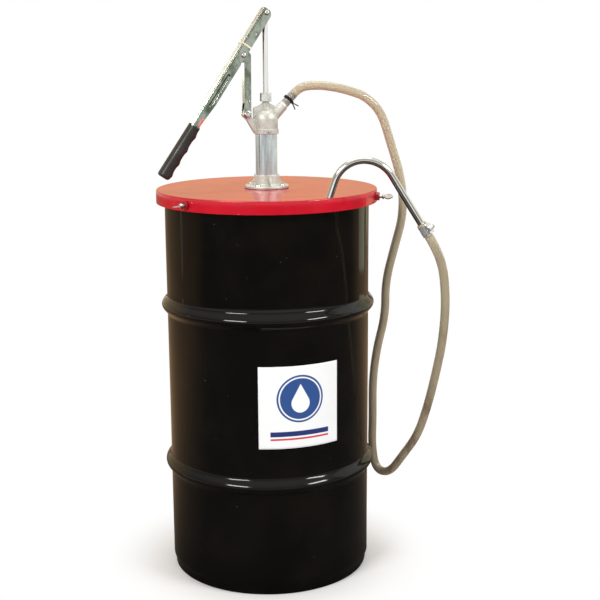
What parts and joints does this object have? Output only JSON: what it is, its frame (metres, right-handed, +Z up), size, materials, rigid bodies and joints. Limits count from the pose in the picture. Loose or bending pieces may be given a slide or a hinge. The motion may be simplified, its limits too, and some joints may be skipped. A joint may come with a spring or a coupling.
{
  "type": "drum-mounted hand transfer pump",
  "caption": "Lever-operated fluid transfer pump on a round drum cover with clear hose and hooked spout, shown on its steel drum.",
  "frame": {"origin": "centre of the drum's base ring, on the floor", "axes": "+Z up the drum's and the pump's axis; the lever swings in the XZ plane with its grip toward -X and the outlet toward +X"},
  "size_m": [0.4739, 0.4583, 0.9939],
  "materials": {
    "drum_paint": "gloss black enamel",
    "label_vinyl": "satin printed vinyl",
    "cover_paint": "gloss red enamel",
    "seal_rubber": "matt",
    "zinc_plate": "bright zinc plate",
    "cast_alloy": "as-cast, fine grain",
    "galvanised_tube": "galvanised tube",
    "nut_plate": "bright plate",
    "hose_pvc": "clear flexible tube, tan with age",
    "black_spring": "black phosphate",
    "spout_chrome": "polished",
    "clamp_steel": "bright",
    "rod_chrome": "polished",
    "valve_brass": "turned",
    "ball_steel": "polished",
    "strainer_plastic": "moulded",
    "lever_zinc": "zinc plated sheet",
    "grip_rubber": "moulded, satin",
    "tie_plastic": "cable tie"
  },
  "bodies": {
    "drum": {"drum_shell": "drum_paint", "drum_label": "label_vinyl"},
    "cover": {"cover_lid": "cover_paint", "cover_gasket": "seal_rubber", "weld_nuts": "cover_paint", "pump_flange": "cast_alloy", "flange_gasket": "seal_rubber", "flange_screws": "zinc_plate", "flange_nuts": "zinc_plate", "barrel": "galvanised_tube", "pump_head": "cast_alloy", "head_set_screw": "zinc_plate", "gland_nut": "nut_plate", "packing_rings": "seal_rubber", "outlet_barb": "zinc_plate", "hose_cuff_outlet": "hose_pvc", "hose_clip": "black_spring", "discharge_spout": "spout_chrome", "hose_cuff_spout": "hose_pvc", "hose_clamp": "clamp_steel", "hose_clamp_screw": "clamp_steel", "transfer_hose": "hose_pvc", "foot_valve_body": "cast_alloy", "foot_valve_stop": "zinc_plate", "suction_tube": "galvanised_tube", "suction_strainer": "strainer_plastic", "link_foot_bolt": "zinc_plate", "link_foot_nut": "zinc_plate"},
    "rod": {"piston_rod": "rod_chrome", "piston_body": "valve_brass", "piston_cup": "seal_rubber", "piston_nut": "zinc_plate", "valve_stop": "valve_brass"},
    "piston_valve": {"piston_valve": "valve_brass"},
    "foot_ball": {"foot_valve_ball": "ball_steel"},
    "lever": {"lever_arm": "lever_zinc", "lever_grip": "grip_rubber", "rod_pin": "zinc_plate", "link_top_pin": "zinc_plate", "lever_tie": "tie_plastic"},
    "link": {"link_bar": "lever_zinc"},
    "thumb_1": {"thumb_screw_1": "zinc_plate"},
    "thumb_2": {"thumb_screw_2": "zinc_plate"},
    "thumb_3": {"thumb_screw_3": "zinc_plate"}
  },
  "joints": [
    {"name": "cover_lift", "type": "slide", "parent": "drum", "child": "cover", "axis": [0, 0, 1], "range_m": [0, 0.67]},
    {"name": "rod_slide", "type": "slide", "parent": "cover", "child": "rod", "axis": [0, 0, -1], "range_m": [0, 0.0816]},
    {"name": "lever_hinge", "type": "hinge", "parent": "rod", "child": "lever", "pos_m": [0, 0, 0.984], "axis": [0, 1, 0], "range_deg": [0, 59.5]},
    {"name": "link_hinge", "type": "hinge", "parent": "cover", "child": "link", "pos_m": [-0.0351, 0, 0.8144], "axis": [0, 1, 0], "range_deg": [-24.3, 0]},
    {"name": "piston_valve_lift", "type": "slide", "parent": "rod", "child": "piston_valve", "axis": [0, 0, 1], "range_m": [0, 0.003]},
    {"name": "foot_valve_lift", "type": "slide", "parent": "cover", "child": "foot_ball", "axis": [0, 0, 1], "range_m": [0, 0.0027]},
    {"name": "thumb_1_turn", "type": "hinge", "parent": "cover", "child": "thumb_1", "pos_m": [0.1744, -0.09667, 0.6745], "axis": [0.8746, -0.4848, 0], "continuous": true},
    {"name": "thumb_2_turn", "type": "hinge", "parent": "cover", "child": "thumb_2", "pos_m": [-0.00348, 0.19937, 0.6745], "axis": [-0.0175, 0.9998, 0], "continuous": true},
    {"name": "thumb_3_turn", "type": "hinge", "parent": "cover", "child": "thumb_3", "pos_m": [-0.17092, -0.1027, 0.6745], "axis": [-0.8572, -0.515, 0], "continuous": true}
  ],
  "couplings": [
    {"joint": "lever_hinge", "follows": "rod_slide", "rad_per_m": 12.692},
    {"joint": "link_hinge", "follows": "rod_slide", "rad_per_m": -5.1653}
  ]
}
